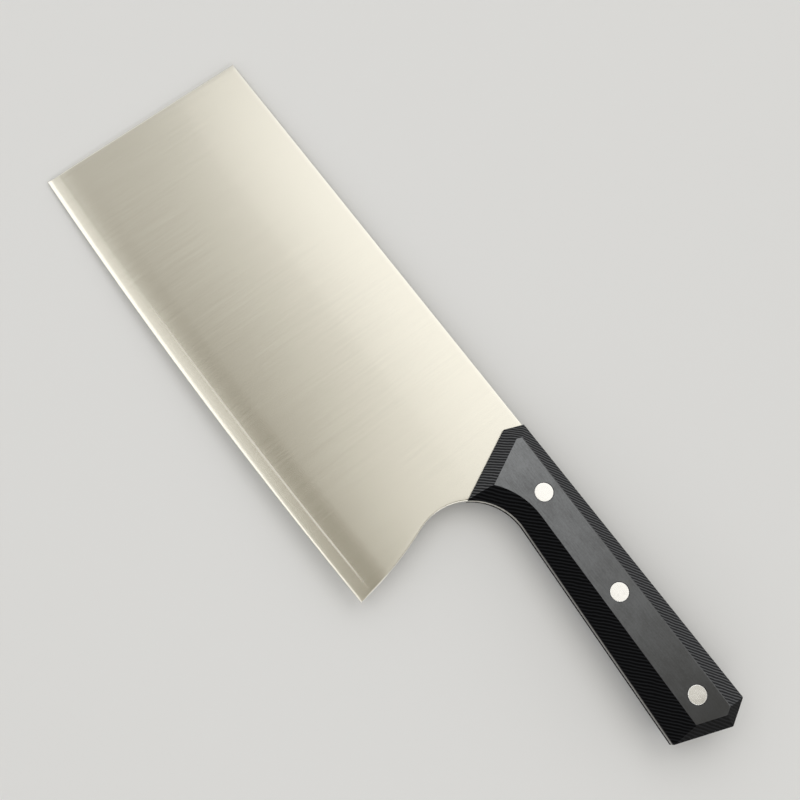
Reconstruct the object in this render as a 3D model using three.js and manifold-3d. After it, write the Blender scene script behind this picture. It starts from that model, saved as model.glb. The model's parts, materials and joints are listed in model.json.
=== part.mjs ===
// A kitchen cleaver with a full tang, two bevelled handle scales and three two-part rivets.
// Lengths are in millimetres. The knife is drawn on its own plane: x runs from the front of the
// blade to the butt, y is 0 along the spine and negative towards the cutting edge, and z is square
// to the blade. At the end the whole knife is laid on its right side, as it rests on a table.
import * as THREE from 'three';
import { mergeVertices } from 'three/addons/utils/BufferGeometryUtils.js';
import Module from 'manifold-3d';

const wasm = await Module();
wasm.setup();

const radians = THREE.MathUtils.degToRad;

// Blade outline
const bladeLength = 200;
const frontHeight = 87.6;
const heelHeight = 90.3;
const edgeBelly = 2.3;
const fingerRadius = 23.1;
const fingerCentreDepth = 48.3;
const heelRadius = 131;
const heelLean = radians(20.2);

// Blade section: heights are measured up from the cutting edge
const stockThickness = 2.2;
const edgeThickness = 0.08;
const cuttingBevelHeight = 1.8;
const cuttingBevelThickness = 0.7;
const ridgeHeight = 6;
const ridgeThickness = 1.2;
const shoulderHeight = 15;
const shoulderThickness = 1.82;
const grindHeight = 60;

// Handle outline, shared by the tang and both scales
const overallLength = 319.2;
const handleOverlap = 15;
const frontCornerRun = 3.1;
const frontCornerDrop = 7.6;
const frontLean = radians(24.4);
const undersideSlope = radians(4.1);
const buttLean = radians(22.5);
const buttCornerRun = 5.4;
const buttCornerDrop = 10;

// Handle section: the scales grow thicker towards the butt
const bondLine = 0.3;
const scaleWall = 1;
const scaleThicknessFront = 6.1;
const scaleThicknessButt = 9.5;
const bevelAngle = radians(44);
const undersideBevelAngle = radians(43);
const buttBevelAngle = radians(58);
const buttCornerBevelAngle = radians(52.5);

// Rivets: a tube half from the left and a pin half from the right
const rivetCount = 3;
const firstRivetSetback = 24.7;
const lastRivetSetback = 18.6;
const rivetHeadRadius = 3.7;
const rivetHeadDepth = 3;
const rivetEdgeBreak = 0.2;
const tubeRadius = 2.3;
const tubeReach = 2.6;
const pinRadius = 1.4;
const pinEndGap = 1;
const rivetClearance = 0.1;

// Fineness of the round stretches
const roundSegments = 32;
const fingerSegments = 14;
const heelSegments = 8;
const shoulderSteps = 6;
const edgeSegments = 24;

const steel = { color: 0xcfcabb, roughness: 0.34, metalness: 1 };
const laminate = { color: 0x1c1d1f, roughness: 0.62, metalness: 0 };
const polished = { color: 0xe6e4df, roughness: 0.16, metalness: 1 };

// Geometry helpers

// A closed body through a row of outlines that have the same number of points. Each outline turns
// anticlockwise when seen from the end of the row, and place() sets a point of outline k in space.
function loft(outlines, place) {
  const count = outlines[0].length;
  const last = (outlines.length - 1) * count;
  const vertices = outlines.flatMap((outline, k) => outline.flatMap((point) => place(point, k)));
  const triangles = [];
  for (let base = 0; base < last; base += count) {
    for (let i = 0; i < count; i += 1) {
      const a = base + i;
      const b = base + ((i + 1) % count);
      triangles.push(a, b, b + count, a, b + count, a + count);
    }
  }
  for (const [a, b, c] of THREE.ShapeUtils.triangulateShape(outlines[0], [])) {
    triangles.push(c, b, a);
  }
  for (const [a, b, c] of THREE.ShapeUtils.triangulateShape(outlines.at(-1), [])) {
    triangles.push(last + a, last + b, last + c);
  }
  const geometry = new THREE.BufferGeometry();
  geometry.setAttribute('position', new THREE.Float32BufferAttribute(vertices, 3));
  geometry.setIndex(triangles);
  return geometry;
}

// A plain prism of an outline, centred on the blade's plane
function slab(outline, thickness) {
  return loft([outline, outline], (p, k) => [p.x, p.y, (k - 0.5) * thickness]);
}

// A round bar along z between two heights
function bar(radius, low, high, centre) {
  const geometry = new THREE.CylinderGeometry(radius, radius, high - low, roundSegments);
  geometry.rotateX(Math.PI / 2);
  return geometry.translate(centre.x, centre.y, (low + high) / 2);
}

function solid(geometry) {
  const plain = geometry.clone();
  plain.deleteAttribute('normal');
  plain.deleteAttribute('uv');
  const merged = mergeVertices(plain, 1e-5);
  const corners = merged.index.array;
  const triangles = [];
  for (let i = 0; i < corners.length; i += 3) {
    const [a, b, c] = corners.slice(i, i + 3);
    if (a !== b && b !== c && c !== a) triangles.push(a, b, c);
  }
  return new wasm.Manifold(new wasm.Mesh({
    numProp: 3,
    vertProperties: merged.attributes.position.array,
    triVerts: new Uint32Array(triangles),
  }));
}

function geometryOf(body) {
  const { vertProperties, triVerts } = body.getMesh();
  const geometry = new THREE.BufferGeometry();
  geometry.setAttribute('position', new THREE.BufferAttribute(vertProperties, 3));
  geometry.setIndex(new THREE.BufferAttribute(triVerts, 1));
  return geometry;
}

// The same body seen in a mirror held along the blade
function mirrored(geometry) {
  const copy = geometry.clone().scale(1, 1, -1);
  copy.setIndex([...copy.index.array].reverse());
  return copy;
}

function named(name, geometry, finish) {
  const flat = geometry.toNonIndexed();
  flat.computeVertexNormals();
  const mesh = new THREE.Mesh(flat, new THREE.MeshStandardMaterial(finish));
  mesh.name = name;
  return mesh;
}

function onCircle(centre, radius, angle) {
  return new THREE.Vector2(centre.x + radius * Math.cos(angle), centre.y + radius * Math.sin(angle));
}

// Points along an arc, both ends included
function arc(centre, radius, from, to, segments) {
  return Array.from({ length: segments + 1 }, (_, i) =>
    onCircle(centre, radius, THREE.MathUtils.lerp(from, to, i / segments)));
}

// Outline of the heel and the finger curve: two arcs that meet in one tangent

const heelCentreY = -fingerCentreDepth - (fingerRadius + heelRadius) * Math.sin(heelLean);
const heelCentre = new THREE.Vector2(
  bladeLength - Math.sqrt(heelRadius ** 2 - (heelHeight + heelCentreY) ** 2), heelCentreY);
const fingerCentre = onCircle(heelCentre, heelRadius + fingerRadius, heelLean);
const fingerEnd = Math.PI / 2 - undersideSlope;

// Where the slanted front of the scales runs into the finger curve
const frontTop = new THREE.Vector2(bladeLength - handleOverlap, 0);
const frontCorner = new THREE.Vector2(frontTop.x - frontCornerRun, -frontCornerDrop);
const frontRun = new THREE.Vector2(Math.sin(frontLean), -Math.cos(frontLean));
const toFinger = fingerCentre.clone().sub(frontCorner);
const alongFront = toFinger.dot(frontRun);
const beyondFront = Math.sqrt(fingerRadius ** 2 - (toFinger.lengthSq() - alongFront ** 2));
const frontFoot = frontCorner.clone().addScaledVector(frontRun, alongFront - beyondFront);
const fingerStart = Math.atan2(frontFoot.y - fingerCentre.y, frontFoot.x - fingerCentre.x);
const fingerArc = arc(fingerCentre, fingerRadius, fingerStart, fingerEnd, fingerSegments);

// The underside leaves the finger curve in a tangent and drops to the slanted butt
const undersideStart = fingerArc.at(-1);
const buttCorner = new THREE.Vector2(overallLength, -buttCornerDrop);
const buttTop = new THREE.Vector2(overallLength - buttCornerRun, 0);
const undersideFall = Math.tan(undersideSlope);
const buttReach = Math.tan(buttLean);
const buttFootX = (buttCorner.x + buttReach
  * (undersideStart.y - buttCorner.y + undersideFall * undersideStart.x)) / (1 + buttReach * undersideFall);
const undersideY = (x) => undersideStart.y - undersideFall * (x - undersideStart.x);
const buttFoot = new THREE.Vector2(buttFootX, undersideY(buttFootX));

// Heights of the handle, measured from the blade's middle plane
const seatHeight = stockThickness / 2 + bondLine;
const wallHeight = seatHeight + scaleWall;
const faceSlope = (scaleThicknessButt - scaleThicknessFront) / (buttCorner.x - frontCorner.x);
const faceHeight = (x) => seatHeight + scaleThicknessFront + faceSlope * (x - frontCorner.x);

// Rivets stand on the middle line of the flat face, between the spine bevel and the underside bevel
const rivetPlaces = Array.from({ length: rivetCount }, (_, i) => {
  const x = THREE.MathUtils.lerp(frontTop.x + firstRivetSetback, overallLength - lastRivetSetback,
    i / (rivetCount - 1));
  const bevelRise = faceHeight(x) - wallHeight;
  const faceTop = -bevelRise / Math.tan(bevelAngle);
  const faceBottom = undersideY(x) + bevelRise / Math.tan(undersideBevelAngle) / Math.cos(undersideSlope);
  return new THREE.Vector2(x, (faceTop + faceBottom) / 2);
});
const headSeat = (place) => faceHeight(place.x) - rivetHeadDepth;

// Blade and tang: a ground section swept along the bowed edge, cut to the outline

// From the edge up: cutting bevel, flat wedge, a rounded shoulder that runs into the tapered cheek,
// and the parallel stock of the spine and the tang
function bladeSection(topHeight) {
  const half = [
    [0, edgeThickness / 2],
    [cuttingBevelHeight, cuttingBevelThickness / 2],
  ];
  const taper = (stockThickness - shoulderThickness) / (grindHeight - shoulderHeight);
  const shoulderLoss = shoulderThickness - ridgeThickness - taper * (shoulderHeight - ridgeHeight);
  for (let i = 0; i <= shoulderSteps; i += 1) {
    const t = i / shoulderSteps;
    const height = THREE.MathUtils.lerp(ridgeHeight, shoulderHeight, t);
    const thickness = shoulderThickness - taper * (shoulderHeight - height) - shoulderLoss * (1 - t) ** 2;
    half.push([height, thickness / 2]);
  }
  half.push([grindHeight, stockThickness / 2], [topHeight, stockThickness / 2]);
  const right = half.map(([height, z]) => new THREE.Vector2(height, -z));
  const left = half.map(([height, z]) => new THREE.Vector2(height, z)).reverse();
  return [...right, ...left];
}

function bladeGeometry() {
  const edgeFront = new THREE.Vector2(0, -frontHeight);
  const edgeHeel = new THREE.Vector2(bladeLength, -heelHeight);
  const chord = edgeHeel.clone().sub(edgeFront);
  const edgeRadius = (chord.lengthSq() / 4 + edgeBelly ** 2) / (2 * edgeBelly);
  const towardsSpine = new THREE.Vector2(-chord.y, chord.x).normalize();
  const edgeCentre = edgeFront.clone().addScaledVector(chord, 0.5)
    .addScaledVector(towardsSpine, edgeRadius - edgeBelly);

  const margin = heelHeight / 10;
  const section = bladeSection(heelHeight + edgeBelly + margin);
  const sweepStart = Math.asin((-margin - edgeCentre.x) / edgeRadius);
  const sweepEnd = Math.asin((overallLength + margin - edgeCentre.x) / edgeRadius);
  const ground = loft(Array(edgeSegments + 1).fill(section), (point, k) => {
    const turn = THREE.MathUtils.lerp(sweepStart, sweepEnd, k / edgeSegments);
    const radius = edgeRadius - point.x;
    return [edgeCentre.x + radius * Math.sin(turn), edgeCentre.y - radius * Math.cos(turn), point.y];
  });

  const lowest = -heelHeight - edgeBelly - margin / 2;
  const heelStart = Math.asin((lowest - heelCentre.y) / heelRadius);
  const outline = [
    new THREE.Vector2(0, lowest),
    ...arc(heelCentre, heelRadius, heelStart, heelLean, heelSegments),
    ...arc(fingerCentre, fingerRadius, heelLean + Math.PI, fingerStart, fingerSegments).slice(1, -1),
    ...fingerArc,
    buttFoot,
    buttCorner,
    buttTop,
    new THREE.Vector2(0, 0),
  ];
  let body = solid(ground).intersect(solid(slab(outline, 2 * stockThickness)));
  for (const place of rivetPlaces) {
    body = body.subtract(solid(bar(tubeRadius + rivetClearance, -stockThickness, stockThickness, place)));
  }
  return geometryOf(body);
}

// Handle scale: a bevelled blank, cut along the finger curve and the underside, then drilled

// The blank's straight sides run on down to the depth of the finger curve's centre
const blankFoot = (corner, lean) => new THREE.Vector2(
  corner.x + (corner.y + fingerCentreDepth) * Math.tan(lean), -fingerCentreDepth);
const blankOutline = [
  frontCorner,
  blankFoot(frontCorner, frontLean),
  blankFoot(buttCorner, -buttLean),
  buttCorner,
  buttTop,
  frontTop,
];

// The two facets at the butt are steeper than the others
function blankBevelAngle(from, to) {
  if (to === buttCorner) return buttBevelAngle;
  return from === buttCorner ? buttCornerBevelAngle : bevelAngle;
}

// The flat's corner above one corner of the blank, where two bevels meet the sloping face
function faceCorner(corner, index) {
  const count = blankOutline.length;
  const [[a, b], [c, d]] = [index - 1, index].map((side) => {
    const from = blankOutline[(side + count) % count];
    const to = blankOutline[(side + 1) % count];
    const inward = new THREE.Vector2(from.y - to.y, to.x - from.x)
      .setLength(Math.tan(blankBevelAngle(from, to)));
    return [inward.x - faceSlope, inward.y];
  });
  const rise = (faceHeight(corner.x) - wallHeight) / (a * d - b * c);
  return new THREE.Vector2(corner.x + rise * (d - b), corner.y + rise * (a - c));
}

// Outline of the space under the handle, grown outwards by a bevel's run
function underHandle(run) {
  const radius = fingerRadius + run;
  const pastButt = overallLength + radius;
  const floor = -2 * fingerCentreDepth;
  return [
    new THREE.Vector2(fingerCentre.x - radius, floor),
    new THREE.Vector2(pastButt, floor),
    new THREE.Vector2(pastButt, undersideY(pastButt) + run / Math.cos(undersideSlope)),
    ...arc(fingerCentre, radius, fingerEnd, fingerStart, fingerSegments),
    ...arc(fingerCentre, radius, fingerStart, Math.PI, fingerSegments).slice(1),
  ];
}

function scaleGeometry() {
  const face = blankOutline.map(faceCorner);
  const blank = loft([blankOutline, blankOutline, face], (p, k) =>
    [p.x, p.y, [seatHeight, wallHeight, faceHeight(p.x)][k]]);
  const above = faceHeight(overallLength) + scaleWall;
  const bevelRun = (above - wallHeight) / Math.tan(undersideBevelAngle);
  const undercut = loft([0, 0, bevelRun].map(underHandle), (p, k) => [p.x, p.y, [0, wallHeight, above][k]]);
  let body = solid(blank).subtract(solid(undercut));
  for (const place of rivetPlaces) {
    body = body.subtract(solid(bar(tubeRadius + rivetClearance, 0, above, place)));
    body = body.subtract(solid(bar(rivetHeadRadius + rivetClearance, headSeat(place), above, place)));
  }
  return geometryOf(body);
}

// Rivet halves: turned from a profile, with the head ground flush with the sloping face

function turned(profile, place) {
  const geometry = new THREE.LatheGeometry(profile.map(([r, h]) => new THREE.Vector2(r, h)), roundSegments);
  geometry.rotateX(Math.PI / 2);
  const spots = geometry.attributes.position;
  for (let i = 0; i < spots.count; i += 1) {
    const onHead = spots.getZ(i) > headSeat(place) + bondLine + rivetEdgeBreak;
    if (onHead) spots.setZ(i, spots.getZ(i) + faceSlope * spots.getX(i));
  }
  return geometryOf(solid(geometry.translate(place.x, place.y, 0)));
}

function headProfile(place, stemRadius) {
  const top = faceHeight(place.x);
  const seat = headSeat(place) + bondLine;
  return [
    [stemRadius, seat],
    [rivetHeadRadius, seat],
    [rivetHeadRadius, top - rivetEdgeBreak],
    [rivetHeadRadius - rivetEdgeBreak, top],
    [0, top],
  ];
}

function rivetTube(place) {
  const boreRadius = pinRadius + rivetClearance;
  const boreEnd = headSeat(place);
  return turned([
    [0, boreEnd], [boreRadius, boreEnd], [boreRadius, -tubeReach], [tubeRadius, -tubeReach],
    ...headProfile(place, tubeRadius),
  ], place);
}

function rivetPin(place) {
  const tip = pinEndGap - headSeat(place);
  return mirrored(turned([[0, tip], [pinRadius, tip], ...headProfile(place, pinRadius)], place));
}

// Assembly

const knife = new THREE.Group();
const leftScale = scaleGeometry();
const rightScale = mirrored(leftScale);
knife.add(named('blade', bladeGeometry(), steel));
knife.add(named('scale_left', leftScale, laminate));
knife.add(named('scale_right', rightScale, laminate));
rivetPlaces.forEach((place, i) => {
  knife.add(named(`rivet_tube_${i + 1}`, rivetTube(place), polished));
  knife.add(named(`rivet_pin_${i + 1}`, rivetPin(place), polished));
});

// The table touches the cheek's foot at the blade's front and the front edge of the right scale's flat
const cheekFoot = new THREE.Vector3(0, shoulderHeight - frontHeight, -shoulderThickness / 2);
const [flatTop, flatFoot] = [0, 1].map((i) => {
  const corner = faceCorner(blankOutline[i], i);
  return new THREE.Vector3(corner.x, corner.y, -faceHeight(corner.x)).sub(cheekFoot);
});
const table = flatFoot.cross(flatTop).normalize();
knife.quaternion.setFromUnitVectors(table, new THREE.Vector3(0, 0, 1));

// The origin is the middle of the footprint
const cleaver = new THREE.Group();
cleaver.add(knife);
const extent = new THREE.Box3().setFromObject(cleaver, true);
const middle = extent.getCenter(new THREE.Vector3());
knife.position.set(-middle.x, -middle.y, -extent.min.z);

export default cleaver;
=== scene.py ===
"""Looks of the kitchen cleaver: a ground, satin steel blade, woven laminate scales and flush rivets.

Lengths are in millimetres on the knife's own plane, as in the part: x runs from the blade's front to
the butt, y is 0 along the spine and negative towards the edge, z comes out of the left face.
KNIFE turns that plane into the row frame, which is in metres.
"""
import json
import math

import bmesh
import bpy
from mathutils import Matrix, Quaternion, Vector


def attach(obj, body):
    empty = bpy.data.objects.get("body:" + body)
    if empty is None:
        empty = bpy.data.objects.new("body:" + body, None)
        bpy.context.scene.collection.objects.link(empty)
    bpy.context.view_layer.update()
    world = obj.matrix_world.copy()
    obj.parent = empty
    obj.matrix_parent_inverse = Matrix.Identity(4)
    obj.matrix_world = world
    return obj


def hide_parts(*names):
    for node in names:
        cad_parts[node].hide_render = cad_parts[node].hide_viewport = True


MM = 0.001

# Blade outline
BLADE_LENGTH = 200
FRONT_HEIGHT = 87.6
HEEL_HEIGHT = 90.3
EDGE_BELLY = 2.3
FINGER_RADIUS = 23.1
FINGER_CENTRE_DEPTH = 48.3
HEEL_RADIUS = 131
HEEL_LEAN = math.radians(20.2)
OVERALL_LENGTH = 319.2
UNDERSIDE_SLOPE = math.radians(4.1)
BUTT_LEAN = math.radians(22.5)
BUTT_CORNER_RUN = 5.4
BUTT_CORNER_DROP = 10

# Blade section: heights up from the edge, and half thicknesses
EDGE_HALF = 0.04
BEVEL_SLOPE = 0.172
BEVEL_HEIGHT_FRONT = 1.3
BEVEL_HEIGHT_HEEL = 0.7
WEDGE_BULGE = 0.03
RIDGE_HEIGHT = 5.6
RIDGE_HALF = 0.59
RIDGE_STEP_WIDTH = 0.4
RIDGE_STEP_DROP_FRONT = 0.015
RIDGE_STEP_DROP_HEEL = 0.06
SHOULDER_HEIGHT = 15
SHOULDER_HALF = 0.91
GRIND_HEIGHT = 60
STOCK_HALF = 1.1
EDGE_BREAK_WIDTH = 0.8
EDGE_BREAK_DEPTH = 0.45

# Fineness of the blade's mesh
BLADE_COLUMNS = 84
TANG_COLUMNS = 40
BEVEL_ROWS = 3
WEDGE_ROWS = 7
SHOULDER_ROWS = 8
CHEEK_ROWS = 18
SPINE_ROWS = 15
BUTT_CORNER_ROW = 9
BREAK_STEPS = 3
BREAK_LIMIT = 0.9
ROW_END_ROUNDS = 30
TANG_FADE_OFFSET = 0.8

# Laminate: eased facet edges, and yarn planes that stand square to the blade
SHORTEST_EDGE = 0.25
FACET_EASE = 0.7
FACET_EASE_STEPS = 4
FLAT_LEAN = math.radians(4)
FADE_LEAN = math.radians(20)
BEVEL_LEAN = math.radians(38)
WALL_LEAN = math.radians(100)
RIVET_EASE = 0.1
YARN_PITCH = 1.11
YARN_HEADING = math.radians(-52)
# Bevels facing this heading are painted lit, the others are painted as shade.
LIT_SIDE = math.radians(130)

# Colours, as the darkest and the palest tone. The handle's tones hold painted light and shade: the flats
# are painted pale at the front as a sheen and dark towards the butt as shade, the bevels on the lit side
# are painted paler and those underneath nearly black as shade. The tang's steel is painted darker as
# shade between the scales.
STEEL = ((0.804, 0.783, 0.712), (0.830, 0.809, 0.735))
TANG_SHADED_STEEL = (0.28, 0.27, 0.255, 1)
FLAT_FRONT_PAINTED_SHEEN = ((0.105, 0.111, 0.118), (0.195, 0.205, 0.216))
FLAT_BUTT_PAINTED_SHADE = ((0.005, 0.0056, 0.0064), (0.013, 0.0145, 0.0165))
RUBBED_EDGE = ((0.024, 0.025, 0.027), (0.055, 0.057, 0.060))
BEVEL_PAINTED_LIT = ((0.018, 0.0185, 0.020), (0.112, 0.115, 0.121))
BEVEL_PAINTED_SHADE = ((0.001, 0.001, 0.0012), (0.0125, 0.0132, 0.0148))
RIVET_STEEL = ((0.88, 0.875, 0.86), (0.96, 0.955, 0.94))
PALE_FLOOR = (0.78, 0.78, 0.777, 1)
RIM_ROUGHNESS = 0.1

# Camera, on the knife's plane
CAMERA_PLACE = (204.0, -144.9, 447.0)
CAMERA_TARGET = (148.8, -31.7, 0.0)
CAMERA_ROLL = math.radians(26.52)
CAMERA_LENS = 54.94

# Soft lights above the knife: place, width along x, depth along y and radiance
LIGHTS = {
    "key softbox": ((-15, 560, 900), 890, 690, 0.94),
    "fill softbox": ((-120, 150, 900), 360, 130, 0.34),
    "heel softbox": ((245, 140, 900), 370, 150, 0.68),
    "nose softbox": ((-480, 40, 900), 480, 330, 0.14),
    "edge softbox": ((-320, -345, 900), 760, 430, 1.22),
    "corner softbox": ((170, -330, 900), 220, 200, 1.5),
    "rim softbox": ((760, -300, 620), 160, 900, 2.2),
}
FLOOR_RADIUS = 12000

# Colour of the studio by height, from 0 at the horizon to 1 overhead: pale walls, dim warm ceiling
SKY = (
    (0.0, (0.43, 0.43, 0.42)),
    (0.2, (0.6, 0.6, 0.59)),
    (0.3, (0.85, 0.85, 0.85)),
    (0.7, (0.85, 0.85, 0.85)),
    (0.8, (0.4, 0.385, 0.34)),
    (1.0, (0.27, 0.246, 0.184)),
)

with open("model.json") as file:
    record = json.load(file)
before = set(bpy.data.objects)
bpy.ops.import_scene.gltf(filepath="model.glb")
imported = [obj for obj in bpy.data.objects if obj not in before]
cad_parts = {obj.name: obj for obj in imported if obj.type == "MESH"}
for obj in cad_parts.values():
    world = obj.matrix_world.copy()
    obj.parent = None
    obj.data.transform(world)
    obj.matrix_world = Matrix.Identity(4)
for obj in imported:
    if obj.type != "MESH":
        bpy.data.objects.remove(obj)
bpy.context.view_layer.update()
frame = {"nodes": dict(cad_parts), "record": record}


def knife_frame():
    """Matrix from the knife's plane, in metres, to the row frame."""
    mounts = {mount["name"]: mount for mount in frame["record"]["mounts"]}
    normal = Vector(mounts["blade_face_left"]["axis"])
    turn = Vector((0, 0, 1)).rotation_difference(normal).to_matrix()
    flat = [turn.transposed() @ vertex.co for vertex in frame["nodes"]["blade"].data.vertices]
    heights = [point.z for point in flat]
    corner = Vector((min(p.x for p in flat), max(p.y for p in flat), (min(heights) + max(heights)) / 2))
    return Matrix.Translation(turn @ corner) @ turn.to_4x4()


KNIFE = knife_frame()


def place(x, y, z):
    """A point of the knife's plane, given in millimetres, in the row frame."""
    return KNIFE @ (Vector((x, y, z)) * MM)


def heading(angle):
    return Vector((math.cos(angle), math.sin(angle)))


def steps(start, end, count):
    """Evenly spaced values from start, up to but without end."""
    return [start + (end - start) * i / count for i in range(count)]


# Blade outline: the heel and the finger curve are arcs that meet in one tangent

HEEL_CENTRE_Y = -FINGER_CENTRE_DEPTH - (FINGER_RADIUS + HEEL_RADIUS) * math.sin(HEEL_LEAN)
HEEL_CENTRE = Vector((
    BLADE_LENGTH - math.sqrt(HEEL_RADIUS ** 2 - (HEEL_HEIGHT + HEEL_CENTRE_Y) ** 2), HEEL_CENTRE_Y))
HEEL_TOP_Y = HEEL_CENTRE_Y + HEEL_RADIUS * math.sin(HEEL_LEAN)
FINGER_CENTRE = HEEL_CENTRE + (HEEL_RADIUS + FINGER_RADIUS) * heading(HEEL_LEAN)
UNDERSIDE_START = FINGER_CENTRE + FINGER_RADIUS * heading(math.pi / 2 - UNDERSIDE_SLOPE)

# The tang begins on the finger curve, at the height where the grind ends
TANG_ROOT_ANGLE = math.pi - math.asin((GRIND_HEIGHT - HEEL_HEIGHT + FINGER_CENTRE_DEPTH) / FINGER_RADIUS)
TANG_ROOT = FINGER_CENTRE + FINGER_RADIUS * heading(TANG_ROOT_ANGLE)
BUTT_TOP = Vector((OVERALL_LENGTH - BUTT_CORNER_RUN, 0))
BUTT_CORNER = Vector((OVERALL_LENGTH, -BUTT_CORNER_DROP))
UNDERSIDE_FALL = math.tan(UNDERSIDE_SLOPE)
BUTT_REACH = math.tan(BUTT_LEAN)
BUTT_OFFSET = BUTT_REACH * (UNDERSIDE_START.y + BUTT_CORNER_DROP)
UNDERSIDE_RUN = (OVERALL_LENGTH - UNDERSIDE_START.x + BUTT_OFFSET) / (1 + BUTT_REACH * UNDERSIDE_FALL)
BUTT_FOOT = UNDERSIDE_START + UNDERSIDE_RUN * Vector((1, -UNDERSIDE_FALL))


def edge_y(x):
    """The bowed cutting edge."""
    along = x / BLADE_LENGTH
    chord = -FRONT_HEIGHT + (FRONT_HEIGHT - HEEL_HEIGHT) * along
    return chord - 4 * EDGE_BELLY * along * (1 - along)


def bevel_height(x):
    """The cutting bevel narrows from the front to the heel."""
    return BEVEL_HEIGHT_FRONT + (BEVEL_HEIGHT_HEEL - BEVEL_HEIGHT_FRONT) * x / BLADE_LENGTH


def half_thickness(x, y):
    """Cutting bevel, convex wedge, step at the ridge, round shoulder, tapered cheek, parallel stock."""
    height = y - edge_y(x)
    bevel = bevel_height(x)
    bevel_half = EDGE_HALF + BEVEL_SLOPE * bevel
    step_foot = RIDGE_HEIGHT - RIDGE_STEP_WIDTH
    step_drop = RIDGE_STEP_DROP_FRONT + (RIDGE_STEP_DROP_HEEL - RIDGE_STEP_DROP_FRONT) * x / BLADE_LENGTH
    step_half = RIDGE_HALF - step_drop
    taper = (STOCK_HALF - SHOULDER_HALF) / (GRIND_HEIGHT - SHOULDER_HEIGHT)
    if height < bevel:
        return EDGE_HALF + BEVEL_SLOPE * max(height, 0)
    if height < step_foot:
        share = (height - bevel) / (step_foot - bevel)
        return bevel_half + (step_half - bevel_half) * share + WEDGE_BULGE * share * (1 - share)
    if height < RIDGE_HEIGHT:
        return step_half + step_drop * (height - step_foot) / RIDGE_STEP_WIDTH
    if height < SHOULDER_HEIGHT:
        run = SHOULDER_HEIGHT - RIDGE_HEIGHT
        loss = SHOULDER_HALF - RIDGE_HALF - taper * run
        left = (SHOULDER_HEIGHT - height) / run
        return SHOULDER_HALF - taper * run * left - loss * left ** 2
    return min(SHOULDER_HALF + taper * (height - SHOULDER_HEIGHT), STOCK_HALF)


# Blade mesh

def blade_rows():
    """Each row of the grid as y over x: by height above the edge, then by share of the way to the spine."""
    rows = []
    for share in steps(0, 1, BEVEL_ROWS):
        rows.append(lambda x, s=share: edge_y(x) + s * bevel_height(x))
    step_foot = RIDGE_HEIGHT - RIDGE_STEP_WIDTH
    for share in steps(0, 1, WEDGE_ROWS):
        rows.append(lambda x, s=share: edge_y(x) + (1 - s) * bevel_height(x) + s * step_foot)
    heights = [step_foot, *steps(RIDGE_HEIGHT, SHOULDER_HEIGHT, SHOULDER_ROWS),
               *steps(SHOULDER_HEIGHT, GRIND_HEIGHT, CHEEK_ROWS)]
    for height in heights:
        rows.append(lambda x, h=height: edge_y(x) + h)
    for share in [*steps(0, 1, SPINE_ROWS), 1]:
        rows.append(lambda x, s=share: (1 - s) * (edge_y(x) + GRIND_HEIGHT))
    return rows


def blade_end(y):
    """Where a row of the blade ends: on the heel, on the finger curve or at the root of the tang."""
    if y < HEEL_TOP_Y:
        return HEEL_CENTRE.x + math.sqrt(HEEL_RADIUS ** 2 - (y - HEEL_CENTRE.y) ** 2)
    if y < TANG_ROOT.y:
        return FINGER_CENTRE.x - math.sqrt(FINGER_RADIUS ** 2 - (y - FINGER_CENTRE.y) ** 2)
    return TANG_ROOT.x


def row_points(row):
    """Points of one row, from the blade's front to its end."""
    end = BLADE_LENGTH
    for _ in range(ROW_END_ROUNDS):
        end = blade_end(row(end))
    return [Vector((x, row(x))) for x in [*steps(0, end, BLADE_COLUMNS), end]]


def underside_point(along):
    """A point of the tang's lower side, 0 at the root and 1 at the butt's foot."""
    curve = FINGER_RADIUS * (TANG_ROOT_ANGLE - math.pi / 2 + UNDERSIDE_SLOPE)
    run = along * (curve + (BUTT_FOOT - UNDERSIDE_START).length)
    if run < curve:
        return FINGER_CENTRE + FINGER_RADIUS * heading(TANG_ROOT_ANGLE - run / FINGER_RADIUS)
    return UNDERSIDE_START + (run - curve) * heading(-UNDERSIDE_SLOPE)


def tang_points(row):
    """Points of one row of the tang, after its root and up to the butt."""
    share = row / SPINE_ROWS
    points = []
    for along in steps(0, 1, TANG_COLUMNS)[1:]:
        top = Vector((TANG_ROOT.x + (BUTT_TOP.x - TANG_ROOT.x) * along, 0))
        points.append(underside_point(along).lerp(top, share))
    if row < BUTT_CORNER_ROW:
        points.append(BUTT_FOOT.lerp(BUTT_CORNER, row / BUTT_CORNER_ROW))
    else:
        corner_share = (row - BUTT_CORNER_ROW) / (SPINE_ROWS - BUTT_CORNER_ROW)
        points.append(BUTT_CORNER.lerp(BUTT_TOP, corner_share))
    return points


def tang_share(x, y):
    """How far a point lies on the tang, from 0 on the blade to 1."""
    if y < HEEL_TOP_Y:
        return 0
    return min(max((x - FINGER_CENTRE.x) / FINGER_RADIUS + TANG_FADE_OFFSET, 0), 1)


def outward(before, here, after):
    """Mitred outward direction at a point of the outline, which runs clockwise."""
    sides = [(b - a).normalized() for a, b in ((before, here), (here, after)) if (b - a).length > 0]
    normals = [Vector((-side.y, side.x)) for side in sides]
    total = sum(normals, Vector((0, 0)))
    return total / total.dot(normals[0])


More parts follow.
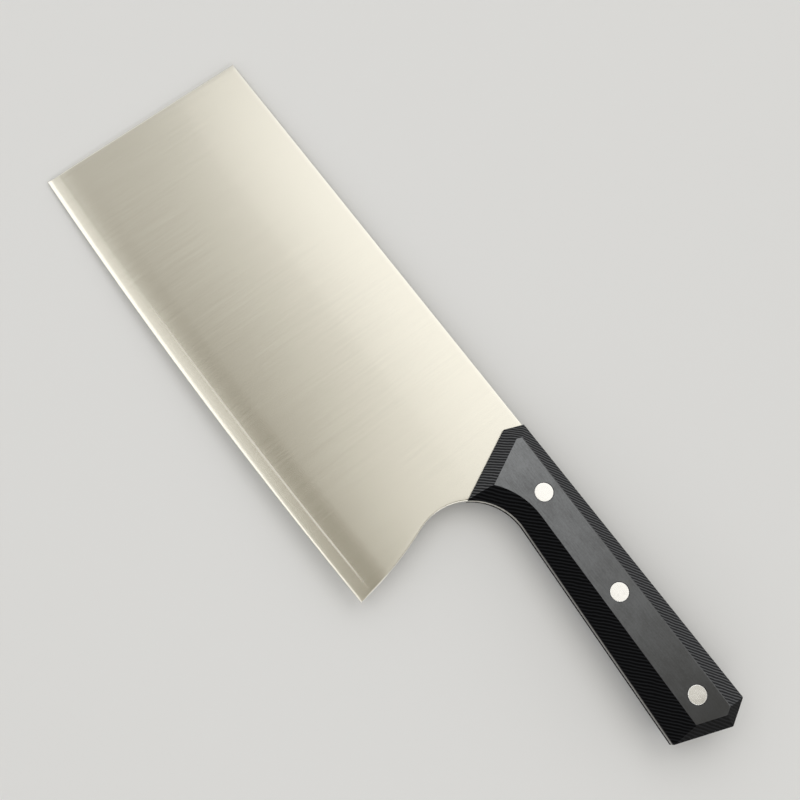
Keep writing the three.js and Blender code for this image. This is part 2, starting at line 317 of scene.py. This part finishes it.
def blade_mesh():
    """Both ground faces as grids of quads, joined by a rim with eased corners."""
    rows = blade_rows()
    grid = [row_points(row) for row in rows]
    tang_start = len(rows) - SPINE_ROWS - 1
    for i in range(SPINE_ROWS + 1):
        grid[tang_start + i] += tang_points(i)
    top = len(rows) - 1
    last = BLADE_COLUMNS + TANG_COLUMNS

    rim = [(r, 0) for r in range(top)]
    rim += [(top, c) for c in range(last)]
    rim += [(r, last) for r in range(top, tang_start, -1)]
    rim += [(tang_start, c) for c in range(last, BLADE_COLUMNS, -1)]
    rim += [(r, BLADE_COLUMNS) for r in range(tang_start, -1, -1)]

    outline = [grid[r][c].copy() for r, c in rim]
    eases = []
    for k, here in enumerate(outline):
        normal = outward(outline[max(k - 1, 0)], here, outline[min(k + 1, len(outline) - 1)])
        ease = min(EDGE_BREAK_DEPTH, BREAK_LIMIT * half_thickness(*here)) / EDGE_BREAK_DEPTH
        eases.append((normal * EDGE_BREAK_WIDTH * ease, EDGE_BREAK_DEPTH * ease))
    for (r, c), (inset, _) in zip(rim, eases):
        grid[r][c] = grid[r][c] - inset

    vertices = []
    index = {}
    for side in (1, -1):
        for r, row in enumerate(grid):
            for c, point in enumerate(row):
                index[side, r, c] = len(vertices)
                vertices.append((point.x, point.y, side * half_thickness(*point)))

    faces = []
    for side in (1, -1):
        for r in range(top):
            for c in range(min(len(grid[r]), len(grid[r + 1])) - 1):
                corners = [(r, c), (r, c + 1), (r + 1, c + 1), (r + 1, c)]
                faces.append([index[side, *corner] for corner in corners[::side]])

    rings = [[index[1, r, c] for r, c in rim]]
    turns = [math.pi / 2 * i / BREAK_STEPS for i in range(1, BREAK_STEPS + 1)]
    for side, angles in ((1, turns), (-1, turns[::-1])):
        for angle in angles:
            ring = []
            for here, (inset, drop) in zip(outline, eases):
                point = here - inset * (1 - math.sin(angle))
                height = half_thickness(*here) - drop * (1 - math.cos(angle))
                ring.append(len(vertices))
                vertices.append((point.x, point.y, side * height))
            rings.append(ring)
    rings.append([index[-1, r, c] for r, c in rim])

    for upper, lower in zip(rings, rings[1:]):
        for k in range(len(rim) - 1):
            faces.append([upper[k], upper[k + 1], lower[k + 1], lower[k]])
    for c in range(BLADE_COLUMNS):
        faces.append([index[1, 0, c + 1], index[1, 0, c], index[-1, 0, c], index[-1, 0, c + 1]])
    faces.append([ring[0] for ring in rings])
    faces.append([ring[-1] for ring in rings[::-1]])

    face_count = 2 * sum(len(row) for row in grid)
    mesh = bpy.data.meshes.new("blade_ground")
    mesh.from_pydata([Vector(v) * MM for v in vertices], [], faces)
    mesh.shade_smooth()
    rise = mesh.attributes.new("rise", "FLOAT", "POINT")
    rise.data.foreach_set("value", [y - edge_y(x) for x, y, _ in vertices])
    tang = mesh.attributes.new("tang", "FLOAT", "POINT")
    tang.data.foreach_set("value", [tang_share(x, y) for x, y, _ in vertices])
    rim_share = mesh.attributes.new("rim", "FLOAT", "POINT")
    rim_share.data.foreach_set("value", [float(i >= face_count) for i in range(len(vertices))])
    layer = mesh.uv_layers.new(name="brushing")
    for loop in mesh.loops:
        point = mesh.vertices[loop.vertex_index].co
        layer.data[loop.index].uv = (point.x / (BLADE_LENGTH * MM), point.y / (BLADE_LENGTH * MM))
    return mesh


def make_blade(material):
    mesh = blade_mesh()
    mesh.transform(KNIFE)
    mesh.materials.append(material)
    piece = bpy.data.objects.new("blade_ground", mesh)
    bpy.context.scene.collection.objects.link(piece)
    piece.modifiers.new("weighted normals", "WEIGHTED_NORMAL").weight = 100
    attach(piece, "root")
    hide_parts("blade")


# Handle

def outer_edge(edge, outward_way):
    """True for a sharp edge between two outer facets of a scale, away from the rivet holes."""
    leans = [face.normal.angle(outward_way) for face in edge.link_faces]
    hole_rim = min(leans) < FLAT_LEAN and max(leans) > BEVEL_LEAN * 2
    return edge.calc_face_angle(0) > math.radians(10) and max(leans) < WALL_LEAN and not hole_rim


def make_scale(side, finishes):
    """A copy of the CAD scale with eased edges and its finishes: flat, edge, and the bevels as a painted
    lit copy on one side and a painted shade copy underneath.
    """
    node = frame["nodes"][f"scale_{side}"]
    shape = bmesh.new()
    shape.from_mesh(node.data)
    bmesh.ops.remove_doubles(shape, verts=shape.verts, dist=SHORTEST_EDGE * MM)
    bmesh.ops.dissolve_limit(shape, angle_limit=math.radians(1), verts=shape.verts, edges=shape.edges)
    outward_way = KNIFE.to_3x3() @ Vector((0, 0, 1 if side == "left" else -1))
    spine_way = KNIFE.to_3x3() @ Vector((0, 1, 0))
    lit_way = KNIFE.to_3x3() @ Vector((*heading(LIT_SIDE), 0))
    sharp = [edge for edge in shape.edges if outer_edge(edge, outward_way)]
    bmesh.ops.bevel(shape, geom=sharp, offset=FACET_EASE * MM, offset_type="OFFSET",
                    segments=FACET_EASE_STEPS, profile=0.5, affect="EDGES", clamp_overlap=True)
    bmesh.ops.dissolve_degenerate(shape, dist=0.005 * MM, edges=shape.edges)
    for face in shape.faces:
        face.smooth = True
        lean = face.normal.angle(outward_way)
        if FLAT_LEAN < lean < BEVEL_LEAN and face.normal.dot(spine_way) > 0.5 * math.sin(lean):
            face.material_index = 1
        elif lean < FADE_LEAN:
            face.material_index = 0
        else:
            # Steeper facets take the painted lit bevel on the one side and the painted shade bevel on the
            # other.
            face.material_index = 2 if face.normal.dot(lit_way) > 0 else 3
    mesh = bpy.data.meshes.new(f"scale_{side}_eased")
    shape.to_mesh(mesh)
    shape.free()
    for material in finishes:
        mesh.materials.append(material)
    piece = bpy.data.objects.new(mesh.name, mesh)
    bpy.context.scene.collection.objects.link(piece)
    piece.matrix_world = node.matrix_world
    piece.modifiers.new("weighted normals", "WEIGHTED_NORMAL").weight = 100
    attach(piece, "root")
    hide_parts(node.name)


def dress_rivet(piece, material):
    """Gives a CAD rivet half its finish and eases its sharp edges."""
    piece.data.materials.clear()
    piece.data.materials.append(material)
    merge = piece.modifiers.new("shared corners", "WELD")
    merge.merge_threshold = 0.002 * MM
    facets = piece.modifiers.new("whole facets", "DECIMATE")
    facets.decimate_type = "DISSOLVE"
    facets.angle_limit = math.radians(1)
    bevel = piece.modifiers.new("eased edges", "BEVEL")
    bevel.width = RIVET_EASE * MM
    bevel.segments = 3
    bevel.limit_method = "ANGLE"
    bevel.angle_limit = math.radians(20)
    piece.data.shade_smooth()
    piece.modifiers.new("weighted normals", "WEIGHTED_NORMAL").weight = 100


# Materials

def new_material(name):
    material = bpy.data.materials.new(name)
    material.use_nodes = True
    shader = material.node_tree.nodes["Principled BSDF"]
    return material, material.node_tree, shader


def add(tree, kind, inputs=None, **settings):
    """A new node, with its settings and with values or links for its inputs."""
    node = tree.nodes.new(kind)
    for name, value in settings.items():
        setattr(node, name, value)
    for name, value in (inputs or {}).items():
        if isinstance(value, bpy.types.NodeSocket):
            tree.links.new(value, node.inputs[name])
        else:
            node.inputs[name].default_value = value
    return node


def stretched_noise(tree, pitch, detail=3.0):
    """Noise whose features measure pitch, in millimetres along x, y and z."""
    coords = add(tree, "ShaderNodeTexCoord").outputs["Object"]
    scaled = add(tree, "ShaderNodeMapping", {
        "Vector": coords, "Scale": [1 / (size * MM) for size in pitch]}).outputs["Vector"]
    return add(tree, "ShaderNodeTexNoise", {
        "Vector": scaled, "Scale": 1.0, "Detail": detail, "Roughness": 0.6}).outputs["Fac"]


def along_knife(tree, direction):
    """Distance in metres from the row frame's origin along a direction of the knife's plane."""
    place_now = add(tree, "ShaderNodeNewGeometry").outputs["Position"]
    axis = KNIFE.to_3x3() @ Vector(direction)
    product = add(tree, "ShaderNodeVectorMath", {0: place_now, 1: axis}, operation="DOT_PRODUCT")
    return product.outputs["Value"]


def ranged(tree, value, low, high, start=0.3, end=0.7):
    """Maps a value from start..end to low..high."""
    return add(tree, "ShaderNodeMapRange", {
        "Value": value, "From Min": start, "From Max": end,
        "To Min": low, "To Max": high}).outputs["Result"]


def mixed(tree, share, first, second):
    node = add(tree, "ShaderNodeMix", data_type="RGBA")
    tree.links.new(share, node.inputs["Factor"])
    node.inputs["A"].default_value = (*first, 1)
    node.inputs["B"].default_value = (*second, 1)
    return node.outputs["Result"]


def satin_steel():
    """Steel brushed from edge to spine, with a coarser line at the ridge and a polished rim, and the tang's
    rim painted darker as shade between the scales.
    """
    material, tree, shader = new_material("satin steel")
    fine = stretched_noise(tree, (0.25, 40, 40))
    coarse = stretched_noise(tree, (0.9, 30, 30), detail=2.0)
    ground = mixed(tree, ranged(tree, coarse, 0, 1), *STEEL)
    # The tang's rim is painted darker here, as shade between the scales.
    tang = add(tree, "ShaderNodeAttribute", attribute_name="tang").outputs["Fac"]
    colour = add(tree, "ShaderNodeMix", {"Factor": tang}, data_type="RGBA")
    tree.links.new(ground, colour.inputs["A"])
    colour.inputs["B"].default_value = TANG_SHADED_STEEL
    relief = add(tree, "ShaderNodeMath", {0: fine, 1: coarse}, operation="ADD").outputs["Value"]
    bump = add(tree, "ShaderNodeBump", {"Height": relief, "Strength": 0.03, "Distance": 0.01 * MM})
    tangent = add(tree, "ShaderNodeTangent", direction_type="UV_MAP", uv_map="brushing")
    shader.inputs["Metallic"].default_value = 1.0
    shader.inputs["Anisotropic"].default_value = 0.55
    satin = ranged(tree, relief, 0.242, 0.268, 0.7, 1.3)
    rise = add(tree, "ShaderNodeAttribute", attribute_name="rise").outputs["Fac"]
    off_ridge = add(tree, "ShaderNodeMath", {
        0: rise, 1: RIDGE_HEIGHT - RIDGE_STEP_WIDTH / 2}, operation="SUBTRACT").outputs["Value"]
    distance = add(tree, "ShaderNodeMath", {0: off_ridge}, operation="ABSOLUTE").outputs["Value"]
    near_ridge = ranged(tree, distance, 1, 0, 0.3 * RIDGE_STEP_WIDTH, 0.8 * RIDGE_STEP_WIDTH)
    along = along_knife(tree, (1, 0, 0))
    heelward = ranged(tree, along, 0, 0.35, -0.10, 0.01)
    fade = ranged(tree, along, 1, 0, 0.018, 0.036)
    line = add(tree, "ShaderNodeMath", {0: near_ridge, 1: fade}, operation="MULTIPLY").outputs["Value"]
    rough = add(tree, "ShaderNodeMath", {
        0: line, 1: heelward, 2: satin}, operation="MULTIPLY_ADD").outputs["Value"]
    rim = add(tree, "ShaderNodeAttribute", attribute_name="rim").outputs["Fac"]
    polished = add(tree, "ShaderNodeMix", {"Factor": rim, "A": rough, "B": RIM_ROUGHNESS}).outputs["Result"]
    tree.links.new(colour.outputs["Result"], shader.inputs["Base Color"])
    tree.links.new(polished, shader.inputs["Roughness"])
    tree.links.new(bump.outputs["Normal"], shader.inputs["Normal"])
    tree.links.new(tangent.outputs["Tangent"], shader.inputs["Tangent"])
    return material


def sanded_laminate():
    """The flats: matt with a fine grain and faint sanding marks, painted paler at the front as a sheen and
    darker towards the butt as shade.
    """
    material, tree, shader = new_material("sanded laminate")
    grain = stretched_noise(tree, (0.7, 0.7, 0.7), detail=4.0)
    marks = stretched_noise(tree, (6, 0.45, 0.45))
    cloud = stretched_noise(tree, (9, 9, 9), detail=2.0)
    mottle = add(tree, "ShaderNodeMath", {0: grain, 1: marks}, operation="ADD").outputs["Value"]
    tone = add(tree, "ShaderNodeMath", {0: mottle, 1: cloud}, operation="ADD").outputs["Value"]
    front = mixed(tree, ranged(tree, tone, 0, 1, 1.2, 1.8), *FLAT_FRONT_PAINTED_SHEEN)
    butt = mixed(tree, ranged(tree, tone, 0, 1, 1.2, 1.8), *FLAT_BUTT_PAINTED_SHADE)
    # Along the handle the flats' colour is painted light and shade: a sheen at the front, shade at the
    # butt.
    colour = add(tree, "ShaderNodeMix", {
        "Factor": ranged(tree, along_knife(tree, (1, 0, 0)), 0, 1, 0.03, 0.15)}, data_type="RGBA")
    tree.links.new(front, colour.inputs["A"])
    tree.links.new(butt, colour.inputs["B"])
    bump = add(tree, "ShaderNodeBump", {"Height": mottle, "Strength": 0.25, "Distance": 0.03 * MM})
    shader.inputs["IOR"].default_value = 1.7
    tree.links.new(colour.outputs["Result"], shader.inputs["Base Color"])
    tree.links.new(ranged(tree, mottle, 0.3, 0.42, 0.7, 1.3), shader.inputs["Roughness"])
    tree.links.new(bump.outputs["Normal"], shader.inputs["Normal"])
    return material


def rubbed_laminate():
    """The eased edges of the flats, rubbed smooth in use."""
    material, tree, shader = new_material("rubbed laminate")
    wear = stretched_noise(tree, (2.5, 0.6, 0.6), detail=4.0)
    colour = mixed(tree, ranged(tree, wear, 0, 1), *RUBBED_EDGE)
    shader.inputs["IOR"].default_value = 1.8
    tree.links.new(colour, shader.inputs["Base Color"])
    tree.links.new(ranged(tree, wear, 0.2, 0.3), shader.inputs["Roughness"])
    return material


def cut_laminate(name, dark, light):
    """The bevels: cut across the layers of cloth, whose yarns show as fine ridges."""
    material, tree, shader = new_material(name)
    depth = along_knife(tree, (*heading(YARN_HEADING), 0))
    wander = ranged(tree, stretched_noise(tree, (5, 5, 5)), -0.15, 0.15)
    turns = add(tree, "ShaderNodeMath", {
        0: depth, 1: 1 / (YARN_PITCH * MM), 2: wander}, operation="MULTIPLY_ADD").outputs["Value"]
    phase = add(tree, "ShaderNodeMath", {0: turns, 1: math.tau}, operation="MULTIPLY").outputs["Value"]
    yarn = add(tree, "ShaderNodeMath", {0: phase}, operation="SINE").outputs["Value"]
    grain = stretched_noise(tree, (0.35, 0.35, 0.35), detail=4.0)
    colour = mixed(tree, ranged(tree, yarn, 0, 1, -0.2, 0.95), dark, light)
    relief = add(tree, "ShaderNodeMath", {
        0: grain, 1: 0.5, 2: yarn}, operation="MULTIPLY_ADD").outputs["Value"]
    bump = add(tree, "ShaderNodeBump", {"Height": relief, "Strength": 0.35, "Distance": 0.06 * MM})
    shader.inputs["Specular IOR Level"].default_value = 0.04
    tree.links.new(colour, shader.inputs["Base Color"])
    tree.links.new(ranged(tree, grain, 0.5, 0.64), shader.inputs["Roughness"])
    tree.links.new(bump.outputs["Normal"], shader.inputs["Normal"])
    return material


def polished_rivet():
    """Rivet heads ground flush with the scale, with a faint mottle."""
    material, tree, shader = new_material("polished rivet")
    mottle = stretched_noise(tree, (2.4, 2.4, 2.4), detail=2.0)
    colour = mixed(tree, ranged(tree, mottle, 0, 1), *RIVET_STEEL)
    bump = add(tree, "ShaderNodeBump", {"Height": mottle, "Strength": 0.06, "Distance": 0.02 * MM})
    shader.inputs["Metallic"].default_value = 1.0
    tree.links.new(colour, shader.inputs["Base Color"])
    tree.links.new(ranged(tree, mottle, 0.2, 0.3), shader.inputs["Roughness"])
    tree.links.new(bump.outputs["Normal"], shader.inputs["Normal"])
    return material


def pale_floor():
    material, tree, shader = new_material("pale floor")
    shader.inputs["Base Color"].default_value = PALE_FLOOR
    shader.inputs["Roughness"].default_value = 0.85
    shader.inputs["Specular IOR Level"].default_value = 0.2
    return material


# Stage

def make_floor():
    bpy.ops.mesh.primitive_circle_add(vertices=96, radius=FLOOR_RADIUS * MM, fill_type="NGON")
    floor = bpy.context.object
    floor.name = "floor"
    floor.data.materials.append(pale_floor())


def make_light(name, setting):
    """A flat softbox, level with the knife, that shines down on it."""
    spot, width, depth, radiance = setting
    data = bpy.data.lights.new(name, "AREA")
    data.shape = "RECTANGLE"
    data.size = width * MM
    data.size_y = depth * MM
    data.energy = radiance * math.pi * data.size * data.size_y
    light = bpy.data.objects.new(name, data)
    light.location = place(*spot)
    bpy.context.scene.collection.objects.link(light)


def make_world():
    """A soft studio: brightest low on the walls, dim overhead."""
    world = bpy.data.worlds.new("studio")
    world.use_nodes = True
    tree = world.node_tree
    direction = add(tree, "ShaderNodeTexCoord").outputs["Generated"]
    height = add(tree, "ShaderNodeSeparateXYZ", {"Vector": direction}).outputs["Z"]
    ramp = add(tree, "ShaderNodeValToRGB", {"Fac": height})
    stops = ramp.color_ramp.elements
    while len(stops) < len(SKY):
        stops.new(1.0)
    for stop, (height_share, colour) in zip(stops, SKY):
        stop.position = height_share
        stop.color = (*colour, 1)
    tree.links.new(ramp.outputs["Color"], tree.nodes["Background"].inputs["Color"])
    bpy.context.scene.world = world


def make_camera():
    data = bpy.data.cameras.new("camera")
    data.lens = CAMERA_LENS
    camera = bpy.data.objects.new("camera", data)
    look = (Vector(CAMERA_TARGET) - Vector(CAMERA_PLACE)).to_track_quat("-Z", "Y")
    turn = look @ Quaternion((0, 0, 1), CAMERA_ROLL)
    stand = Matrix.Translation(Vector(CAMERA_PLACE) * MM)
    camera.matrix_world = KNIFE @ stand @ turn.to_matrix().to_4x4()
    bpy.context.scene.collection.objects.link(camera)
    bpy.context.scene.camera = camera


make_camera()
make_world()
make_floor()
for name, setting in LIGHTS.items():
    make_light(name, setting)

make_blade(satin_steel())
scale_finishes = (
    sanded_laminate(),
    rubbed_laminate(),
    # The bevels use two copies of one cut laminate: one painted lit, one painted as shade.
    cut_laminate("cut laminate, painted lit side", *BEVEL_PAINTED_LIT),
    cut_laminate("cut laminate, painted shade side", *BEVEL_PAINTED_SHADE),
)
for side in ("left", "right"):
    make_scale(side, scale_finishes)
rivet_finish = polished_rivet()
for name, node in frame["nodes"].items():
    if name.startswith("rivet_"):
        dress_rivet(node, rivet_finish)

bpy.context.scene.view_settings.view_transform = "Standard"
